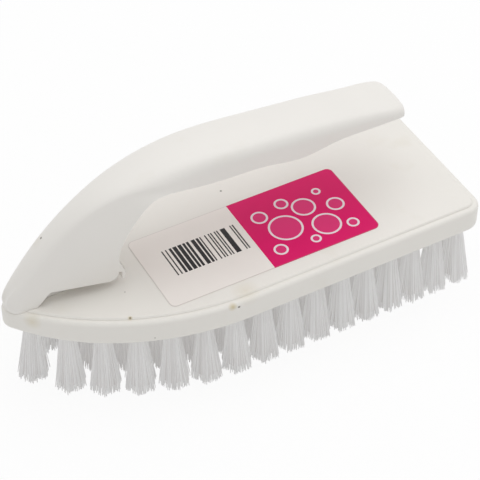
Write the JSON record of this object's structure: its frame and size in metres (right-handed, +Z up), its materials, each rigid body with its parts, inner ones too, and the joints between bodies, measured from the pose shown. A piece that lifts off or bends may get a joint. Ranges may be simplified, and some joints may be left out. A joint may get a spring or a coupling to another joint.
{
  "type": "scrub brush",
  "caption": "Iron-shaped hand scrubbing brush: flat pointed block with staple-set bristle tufts below and a hollow free-ended bow handle above, with a small label.",
  "frame": {"origin": "under the middle of the brush, in the plane of the bristle tips", "axes": "+X from the nose to the rear, +Z up out of the bristles, XZ is the plane of symmetry"},
  "size_m": [0.15, 0.064, 0.0697],
  "materials": {
    "white_moulding": "moulded white polypropylene, satin",
    "filament": "milky white extruded filament, slightly translucent",
    "label_film": "satin printed film, white with a magenta field",
    "staple_wire": "bright flat wire"
  },
  "bodies": {
    "root": {"anchor_staples": "staple_wire", "block": "white_moulding", "handle": "white_moulding", "label": "label_film", "tuft_left_01": "filament", "tuft_left_02": "filament", "tuft_left_03": "filament", "tuft_left_04": "filament", "tuft_left_05": "filament", "tuft_left_06": "filament", "tuft_left_07": "filament", "tuft_left_08": "filament", "tuft_left_09": "filament", "tuft_left_10": "filament", "tuft_left_11": "filament", "tuft_left_12": "filament", "tuft_left_13": "filament", "tuft_left_14": "filament", "tuft_left_15": "filament", "tuft_nose": "filament", "tuft_right_01": "filament", "tuft_right_02": "filament", "tuft_right_03": "filament", "tuft_right_04": "filament", "tuft_right_05": "filament", "tuft_right_06": "filament", "tuft_right_07": "filament", "tuft_right_08": "filament", "tuft_right_09": "filament", "tuft_right_10": "filament", "tuft_right_11": "filament", "tuft_right_12": "filament", "tuft_right_13": "filament", "tuft_right_14": "filament", "tuft_right_15": "filament", "tuft_row_left_inner": "filament", "tuft_row_left_outer": "filament", "tuft_row_middle": "filament", "tuft_row_right_inner": "filament", "tuft_row_right_outer": "filament"}
  },
  "joints": []
}
